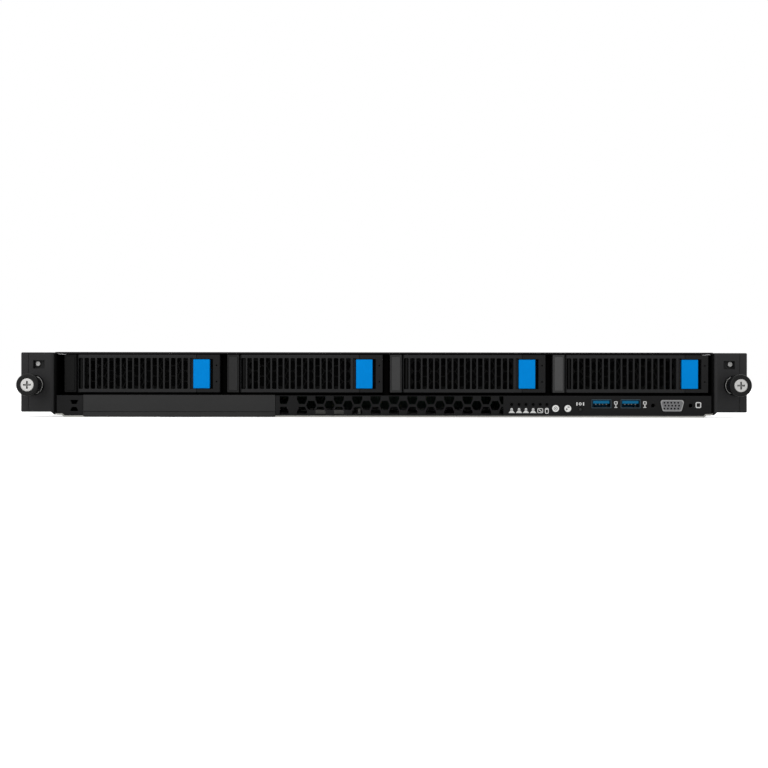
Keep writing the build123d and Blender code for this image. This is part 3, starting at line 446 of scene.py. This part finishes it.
def screwFinish(values):
    finish = texturedBlack("capPlastic")
    across, along, up = finish.axes()
    radius = finish.fromAxis(across.size() - values["across"] * mm, up - values["up"] * mm)
    steel = radius < values["headRadius"] * mm
    rings = {"Vector": finish.place, "Scale": 900.0}
    turned = finish.node("ShaderNodeTexWave", {"wave_type": "RINGS"}, rings, "Fac")
    worn = finish.blend(turned * 0.25, steelColour, shade(steelColour, 0.8))
    finish.over(steel, Base_Color=worn, Metallic=1.0, Roughness=0.45)
    # painted shade in the recess of the steel head
    return finish.over(steel * finish.within(y=values["recess"]), Base_Color=shade(steelColour, 0.4))


def collarFinish(values):
    finish = texturedBlack("collarPaint")
    across, along, up = finish.axes()
    radius = finish.fromAxis(across.size() - values["across"] * mm, up - values["up"] * mm)
    rim = (radius > values["rimRadius"] * mm) * (along < values["rimFront"] * mm)
    return finish.over(rim, Base_Color=steelColour, Metallic=1.0, Roughness=0.3)


def around(middle, half):
    return middle - half, middle + half


# Front sockets: blue tongues in nickel shells, and a grey insert with its holes
socketSet = {
    "usbX": (144.6, 163.95),
    "usbShell": ((0.05, 0.07, 0.085), 0.34),
    "usbTongue": {"colour": (0.0, 0.11, 0.24), "half": 5.6, "y": (-5.0, 13.0), "z": (6.6, 11.3)},
    "vga": (191.6, 7.9),
    "vgaShell": ((0.27, 0.27, 0.27), 0.32),
    "vgaInsert": {"front": -5.65, "half": 6.6, "lean": 0.297, "halfHeight": 3.15, "colour": (0.12, 0.12, 0.125)},
    "vgaFlange": {"y": (-4.6, 0), "tone": 0.001},  # in the shade behind the panel
}


def usbFinish(values):
    finish = nickel("usbShell", *values["usbShell"]).set(Specular_IOR_Level=0.1)
    tongue = values["usbTongue"]
    for middle in values["usbX"]:
        inside = finish.within(x=around(middle, tongue["half"]), y=tongue["y"], z=tongue["z"])
        finish.over(inside, Base_Color=tongue["colour"], Metallic=0.0)
    return finish


def vgaFinish(values):
    finish = nickel("vgaShell", *values["vgaShell"])
    across, along, up = finish.axes()
    insert = values["vgaInsert"]
    middle, height = values["vga"]
    level = up - height * mm
    half = level * insert["lean"] + insert["half"] * mm
    inside = ((across - middle * mm).size() - half) < 0.0
    inside = inside * (level.size() < insert["halfHeight"] * mm) * (along > insert["front"] * mm)
    finish.over(inside, Base_Color=insert["colour"], Metallic=0.0, Roughness=0.5)
    flange = values["vgaFlange"]
    return blackOver(finish, finish.within(y=flange["y"]), flange["tone"])


# Buttons: a white cap, with painted shade on a narrow rim around it for the gap in its hole
buttonSet = {
    "places": {"power": (114.1, 5.95), "identify": (122.2, 5.95)},
    "colour": (0.72, 0.72, 0.70),
    "capRadius": 2.25,
    "gapShadeTone": 0.004,
}


def buttonFinish(values):
    finish = glossPlastic("whitePlastic", values["colour"], 0.32, 0.4)
    across, along, up = finish.axes()
    rim = 1.0
    for middle, height in values["places"].values():
        reach = finish.fromAxis(across - middle * mm, up - height * mm)
        rim = (reach > values["capRadius"] * mm) * rim
    # painted shade on the rim, for the gap around the cap
    return finish.over(rim, Base_Color=grey(values["gapShadeTone"]))


# Rear: black inlets in the power supplies, dark mouths in the ports
rearSet = {
    "caseColour": (0.40, 0.396, 0.383),
    "inlets": {"x": (-160.5, -85.9), "half": 8.6, "y": (632.0, 648.3), "z": (8.9, 33.9)},
    "portShell": ((0.6, 0.6, 0.6), 0.27),
    "portDepth": (630, 647.2),
    "ports": {
        "lan": {"x": (-43.1, -24.1, -5.1), "half": 5.9, "z": (10.4, 20.6), "colour": (0.01, 0.01, 0.01)},
        "usb": {"x": (15.9,), "half": 6.3, "z": (9.9, 22.6), "colour": (0.0, 0.1, 0.24)},
        "vga": {"x": (41.9,), "half": 7.4, "z": (11.8, 18.2), "colour": (0.0, 0.06, 0.22)},
    },
}


def supplyFinish(values):
    finish = galvanised("supplyCase", values["caseColour"])
    inlets = values["inlets"]
    for middle in inlets["x"]:
        blackOver(finish, finish.within(x=around(middle, inlets["half"]), y=inlets["y"], z=inlets["z"]), 0.006)
    return finish


def portFinish(values):
    finish = nickel("portShell", *values["portShell"])
    for port in values["ports"].values():
        for middle in port["x"]:
            mouth = finish.within(x=around(middle, port["half"]), y=values["portDepth"], z=port["z"])
            finish.over(mouth, Base_Color=port["colour"], Metallic=0.0, Roughness=0.45)
    return finish


# Boards: green or black mask, with dark parts standing above it
boardSet = {
    "green": (0.006, 0.05, 0.022),
    "black": (0.006, 0.006, 0.008),
    "copper": (0.16, 0.13, 0.06),
    "greenTop": 9.4,
    "blackTop": 3.2,
    "partTone": 0.012,
}


def boardFinish(name, mask, above, values):
    finish = circuitBoard(name, mask, values["copper"])
    return blackOver(finish, finish.within(z=(above, 60)), values["partTone"])


plainBlacks = ("earPaint", "cagePaintAndShade", "panelPlastic", "blankPlastic", "leverPlastic", "blackPlastic")
madeFinishes = {name: texturedBlack(name) for name in plainBlacks}
madeFinishes.update({
    "coverPaint": coverFinish(coverSet),
    "framePlastic": carrierFinish(carrierSet),
    "driveCasting": driveFinish(driveSet),
    "screwCap": screwFinish(screwSet),
    "collarPaint": collarFinish(screwSet),
    "usbShell": usbFinish(socketSet),
    "vgaShell": vgaFinish(socketSet),
    "supplyCase": supplyFinish(rearSet),
    "portShell": portFinish(rearSet),
    "traySteel": trayFinish(traySet),
    "bareSteel": galvanised("bareSteel", zincColour),
    "rivetSteel": nickel("rivetSteel", (0.265, 0.265, 0.26), 0.42),
    "screwSteel": nickel("screwSteel", (0.42, 0.415, 0.40), 0.34),
    "contactSteel": nickel("contactSteel", (0.2, 0.2, 0.195), 0.35),
    "latchBlue": glossPlastic("latchBlue", blueColour, 0.42, 0.02),
    "whitePlastic": buttonFinish(buttonSet),
    "printWhite": glossPlastic("printWhite", (0.58, 0.58, 0.57), 0.6, 0.2),
    "printGrey": glossPlastic("printGrey", (0.16, 0.16, 0.16), 0.6, 0.2),
    "smokedPlasticAndShade": glossPlastic("smokedPlasticAndShade", (0.0006, 0.0006, 0.0006), 0.3, 0.02),
    "boardGreen": boardFinish("boardGreen", boardSet["green"], boardSet["greenTop"], boardSet),
    "moduleGreen": circuitBoard("moduleGreen", boardSet["green"], boardSet["copper"]),
    "backplaneGreen": circuitBoard("backplaneGreen", boardSet["green"], boardSet["copper"]),
    "boardBlack": boardFinish("boardBlack", boardSet["black"], boardSet["blackTop"], boardSet),
    "finAluminium": castAluminium("finAluminium", (0.66, 0.66, 0.66), 0.3),
})
finishes = {name: finish.material for name, finish in madeFinishes.items()}
print("finishes made:", len(finishes))

# Which finish each node of the frame wears
wearing = {
    "base_tray": "traySteel",
    "drive_cage": "cagePaintAndShade",
    "front_top_cover": "coverPaint",
    "rear_top_cover": "bareSteel",
    "cover_screws": "screwSteel",
    "left_ear": "earPaint",
    "right_ear": "earPaint",
    "left_ear_plate": "earPaint",
    "right_ear_plate": "earPaint",
    "ear_rivets": "rivetSteel",
    "thumbscrew_collars": "collarPaint",
    "left_thumbscrew": "screwCap",
    "right_thumbscrew": "screwCap",
    "front_panel": "panelPlastic",
    "disc_bay_blank": "blankPlastic",
    "control_board": "boardBlack",
    "indicator_light_pipes": "smokedPlasticAndShade",
    "power_button": "whitePlastic",
    "identify_button": "whitePlastic",
    "reset_button": "blackPlastic",
    "front_usb_sockets": "usbShell",
    "front_vga_socket": "vgaShell",
    "drive_backplane": "backplaneGreen",
    "fan_cage": "bareSteel",
    "fan_frames": "blackPlastic",
    "motherboard": "boardGreen",
    "heatsink": "finAluminium",
    "memory_modules": "moduleGreen",
    "air_duct": "blackPlastic",
    "rear_ports": "portShell",
    "riser": "bareSteel",
    "slot_covers": "bareSteel",
}
endings = {
    "_frame": "framePlastic",
    "_lever": "leverPlastic",
    "_latch": "latchBlue",
    "_drive": "driveCasting",
    "_case": "supplyCase",
    "_handle": "blackPlastic",
}


def finishOf(name):
    if name in wearing:
        return wearing[name]
    if name.startswith("fan_rotor"):
        return "blackPlastic"
    for ending, finishName in endings.items():
        if name.endswith(ending):
            return finishName
    raise ValueError(name)


def wear(thing, finishName):
    thing.data.materials.clear()
    thing.data.materials.append(finishes[finishName])


for name, thing in nodes.items():
    wear(thing, finishOf(name))
print("nodes dressed:", len(nodes))


# Printed marks: plain pictograms of our own, a hair proud of the panel and the buttons
markSet = {
    "thick": 0.05,
    "panelFace": -5.4,
    "buttonFace": -5.9,
    "network": (84.9, 89.8, 94.4, 99.2),
    "networkUp": 4.3,
    "message": (103.9, 4.5),
    "store": (108.3, 4.4),
    "reset": (130.5, 9.0),
    "data": ((154.2, 8.6), (173.5, 8.6)),
    "display": (209.1, 8.3),
}
circleSides = 28


def stamp(sheet, place, size, sides=4, line=0.0, corner=0.0, turn=0.0):
    flat = bmesh.new()
    start = Matrix.Rotation(math.pi / 4 if sides == 4 else 0, 4, "Z")
    spans = {3: (math.sqrt(3), 1.5), 4: (math.sqrt(2), math.sqrt(2))}.get(sides, (2, 2))
    bmesh.ops.create_circle(flat, cap_ends=True, segments=sides, radius=1, matrix=start)
    bmesh.ops.scale(flat, verts=flat.verts, vec=(size[0] / spans[0], size[1] / spans[1], 1))
    if corner:
        bmesh.ops.bevel(
            flat, geom=flat.verts[:], offset=corner, offset_type="OFFSET", segments=4, profile=0.5,
            affect="VERTICES", material=-1,
        )
    if line:
        whole = flat.faces[:]
        ring = bmesh.ops.inset_region(flat, faces=whole, thickness=line, use_boundary=True, use_even_offset=True)
        bmesh.ops.delete(flat, geom=[face for face in flat.faces if face not in ring["faces"]], context="FACES")
    raised = bmesh.ops.extrude_face_region(flat, geom=flat.faces[:])["geom"]
    moved = [part for part in raised if isinstance(part, bmesh.types.BMVert)]
    bmesh.ops.translate(flat, verts=moved, vec=(0, 0, markSet["thick"]))
    bmesh.ops.recalc_face_normals(flat, faces=flat.faces[:])
    turned = Matrix.Translation((*place, 0)) @ Matrix.Rotation(math.radians(turn), 4, "Z")
    bmesh.ops.transform(flat, matrix=turned, verts=flat.verts)
    mesh = bpy.data.meshes.new("stamp")
    flat.to_mesh(mesh)
    flat.free()
    sheet.from_mesh(mesh)
    bpy.data.meshes.remove(mesh)


# A finished shape in millimetres becomes a piece that rides on a body
def addPiece(name, shape, body, finishName):
    mesh = bpy.data.meshes.new(name)
    bmesh.ops.scale(shape, verts=shape.verts, vec=(mm, mm, mm))
    shape.to_mesh(mesh)
    shape.free()
    mesh.materials.append(finishes[finishName])
    piece = bpy.data.objects.new(name, mesh)
    scene.collection.objects.link(piece)
    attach(piece, body)


# Marks are drawn flat, then stood up on the face that they are printed on
def addMarks(name, sheet, face, body, finishName="printWhite"):
    stand = Matrix.Translation((0, face, 0)) @ Matrix.Rotation(math.pi / 2, 4, "X")
    bmesh.ops.transform(sheet, matrix=stand, verts=sheet.verts)
    addPiece(name, sheet, body, finishName)


def panelMarks(values):
    sheet = bmesh.new()
    for x in values["network"]:
        up = values["networkUp"]
        stamp(sheet, (x, up - 0.55), (4.3, 2.5), sides=3)
        stamp(sheet, (x, up + 1.05), (1.7, 1.7), sides=circleSides)
    x, up = values["message"]
    stamp(sheet, (x, up), (3.8, 3.2), line=0.45, corner=0.8)
    stamp(sheet, (x, up), (2.6, 0.5), turn=-38)
    x, up = values["store"]
    stamp(sheet, (x, up), (2.5, 3.8), line=0.5, corner=0.9)
    stamp(sheet, (x, up + 1.0), (1.3, 0.5))
    x, up = values["reset"]
    stamp(sheet, (x, up), (2.0, 2.0), sides=circleSides, line=0.55)
    for side in (-1, 1):
        stamp(sheet, (x + side * 2.2, up), (0.8, 2.2), corner=0.15)
    for x, up in values["data"]:
        stamp(sheet, (x, up + 1.1), (2.3, 2.1), line=0.5, corner=0.35)
        stamp(sheet, (x, up - 1.0), (0.6, 2.4))
        stamp(sheet, (x, up - 1.9), (1.9, 0.6), corner=0.15)
    x, up = values["display"]
    stamp(sheet, (x, up), (3.7, 3.9), line=0.65, corner=0.9)
    addMarks("panel_marks", sheet, values["panelFace"], "chassis")


def buttonMarks(values, places):
    sheet = bmesh.new()
    stamp(sheet, places["power"], (2.6, 2.6), sides=circleSides, line=0.42)
    stamp(sheet, places["power"], (0.8, 0.8), sides=circleSides)
    addMarks("power_mark", sheet, values["buttonFace"], "power_button", "printGrey")
    sheet = bmesh.new()
    x, up = places["identify"]
    for across, above, width in ((-0.8, -0.5, 1.3), (0.7, 0.9, 1.0), (-0.1, 1.0, 0.6)):
        stamp(sheet, (x + across, up + above), (width, width), sides=circleSides)
    addMarks("identify_mark", sheet, values["buttonFace"], "identify_button", "printGrey")


# Four sprung contacts under each blue tongue, and painted shade in the display socket's fifteen holes: a dark
# ring and disc in each
contactSet = {
    "offsets": (-3.5, -1.0, 1.0, 3.5),
    "size": (0.7, 5.0, 0.6),
    "middle": (-1.6, 8.8),
    "edge": 0.12,
}
holeShadeSet = {"pitch": 2.29, "row": 1.96, "width": 1.25, "wall": 0.2, "bore": 0.87, "face": -5.6}


# painted shade: flat near-black rings and discs that stand in for the depth of the holes
def vgaHoleShade(values, middle):
    sheet = bmesh.new()
    x, up = middle
    for row in (-1, 0, 1):
        shift = -values["pitch"] / 4 if row else 0
        for column in range(-2, 3):
            place = (x + column * values["pitch"] + shift, up + row * values["row"])
            stamp(sheet, place, (values["width"], values["width"]), sides=12, line=values["wall"])
            stamp(sheet, place, (values["bore"], values["bore"]), sides=12)
    addMarks("front_vga_hole_shade", sheet, values["face"], "chassis", "smokedPlasticAndShade")


def usbContacts(values, sockets):
    shape = bmesh.new()
    along, up = values["middle"]
    for middle in sockets:
        for offset in values["offsets"]:
            place = Matrix.LocRotScale((middle + offset, along, up), None, values["size"])
            bmesh.ops.create_cube(shape, size=1.0, matrix=place)
    bmesh.ops.bevel(
        shape, geom=shape.edges[:], offset=values["edge"], offset_type="OFFSET", segments=2, profile=0.5,
        affect="EDGES", material=-1,
    )
    addPiece("front_usb_contacts", shape, "chassis", "contactSteel")


panelMarks(markSet)
buttonMarks(markSet, buttonSet["places"])
usbContacts(contactSet, socketSet["usbX"])
vgaHoleShade(holeShadeSet, socketSet["vga"])
print("marks and contacts added")

# Stage: a white floor that keeps the shadow, and soft lamps
stageSet = {
    "floorSize": 12.0,
    "floorColour": (0.82, 0.82, 0.82),
    "glowNear": 0.45,
    "glowReach": (0.5, 2.2),  # metres from the object over which the floor turns plain white
    "worldFill": 0.42,
}


def makeFloor(values):
    shape = bmesh.new()
    bmesh.ops.create_grid(shape, x_segments=1, y_segments=1, size=values["floorSize"] / 2)
    mesh = bpy.data.meshes.new("floor")
    shape.to_mesh(mesh)
    shape.free()
    floor = bpy.data.objects.new("floor", mesh)
    scene.collection.objects.link(floor)
    floor.location = (0, 0, cadBox[0][2])
    finish = Finish("paleFloor")
    path = finish.tree.nodes.new("ShaderNodeLightPath")
    seen = Wire(finish, path.outputs["Is Camera Ray"])
    for ray in ("Is Glossy Ray", "Is Transmission Ray"):
        seen = seen.maths("MAXIMUM", Wire(finish, path.outputs[ray]))
    across, along, up = finish.axes()
    glow = finish.spread(finish.fromAxis(across, along), *values["glowReach"], values["glowNear"], 1.0)
    white = finish.blend(seen * glow, (0, 0, 0), (1, 1, 1))
    finish.set(Base_Color=values["floorColour"], Roughness=0.9, Specular_IOR_Level=0.0)
    finish.set(Emission_Color=white, Emission_Strength=1.0)
    mesh.materials.append(finish.material)


def makeWorld(values):
    world = bpy.data.worlds.new("paleWorld")
    scene.world = world
    world.use_nodes = True
    tree = world.node_tree
    tree.nodes.clear()
    output = tree.nodes.new("ShaderNodeOutputWorld")
    background = tree.nodes.new("ShaderNodeBackground")
    path = tree.nodes.new("ShaderNodeLightPath")
    strength = tree.nodes.new("ShaderNodeMapRange")
    strength.inputs[3].default_value = values["worldFill"]
    tree.links.new(path.outputs["Is Camera Ray"], strength.inputs[0])
    for ray in ("Is Glossy Ray", "Is Transmission Ray"):
        seen = tree.nodes.new("ShaderNodeMath")
        seen.operation = "MAXIMUM"
        tree.links.new(strength.inputs[0].links[0].from_socket, seen.inputs[0])
        tree.links.new(path.outputs[ray], seen.inputs[1])
        tree.links.new(seen.outputs[0], strength.inputs[0])
    tree.links.new(strength.outputs[0], background.inputs["Strength"])
    background.inputs["Color"].default_value = (1, 1, 1, 1)
    tree.links.new(background.outputs[0], output.inputs[0])


lampSet = {
    "keyLeft": {"place": (-0.95, -1.5, 0.95), "size": 1.8, "watts": 25},
    "fillFront": {"place": (1.1, -1.5, 0.6), "size": 1.1, "watts": 4.5},
    "fillRight": {"place": (1.5, 0.4, 0.95), "size": 1.8, "watts": 12},
    "overhead": {"place": (0.0, 0.45, 1.9), "size": 1.8, "watts": 10},
    "backRim": {"place": (0.6, 1.9, 2.1), "size": 1.5, "watts": 14},
}


def makeLamp(name, values):
    data = bpy.data.lights.new(name, "AREA")
    data.size = values["size"]
    data.energy = values["watts"]
    lamp = bpy.data.objects.new(name, data)
    scene.collection.objects.link(lamp)
    lamp.location = values["place"]
    aim = Vector((0, 0.2, 0.02)) - Vector(values["place"])
    lamp.rotation_euler = aim.to_track_quat("-Z", "Y").to_euler()


makeFloor(stageSet)
makeWorld(stageSet)
for name, values in lampSet.items():
    makeLamp(name, values)
print("stage made")
